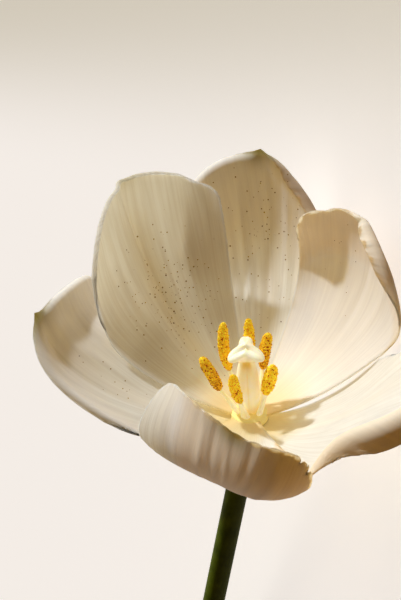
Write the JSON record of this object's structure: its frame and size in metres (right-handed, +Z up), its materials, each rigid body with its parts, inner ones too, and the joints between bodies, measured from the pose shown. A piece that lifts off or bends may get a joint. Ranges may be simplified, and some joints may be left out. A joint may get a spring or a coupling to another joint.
{
  "type": "cut tulip",
  "caption": "White tulip in full bloom on a cut, leafless stalk, lying on its side; separate tepals, stamens and pistil.",
  "frame": {"origin": "centre of the bounding box's foot, on the surface the flower lies on", "axes": "+Z up; +X along the flower as it lies, from the cut end of the stalk to the bloom"},
  "size_m": [0.2176, 0.116, 0.0803],
  "materials": {
    "petal_white": "soft satin, slightly translucent fresh petal",
    "stalk_green": "smooth satin plant skin",
    "filament_cream": "smooth satin",
    "pollen_golden": "rough matt pollen",
    "pistil_yellow": "smooth satin"
  },
  "bodies": {
    "root": {"stalk": "stalk_green", "tepal_back": "petal_white", "tepal_back_left": "petal_white", "tepal_left": "petal_white", "tepal_front": "petal_white", "tepal_right": "petal_white", "tepal_back_right": "petal_white", "filament_1": "filament_cream", "anther_1": "pollen_golden", "filament_2": "filament_cream", "anther_2": "pollen_golden", "filament_3": "filament_cream", "anther_3": "pollen_golden", "filament_4": "filament_cream", "anther_4": "pollen_golden", "filament_5": "filament_cream", "anther_5": "pollen_golden", "filament_6": "filament_cream", "anther_6": "pollen_golden", "pistil": "pistil_yellow"}
  },
  "joints": []
}
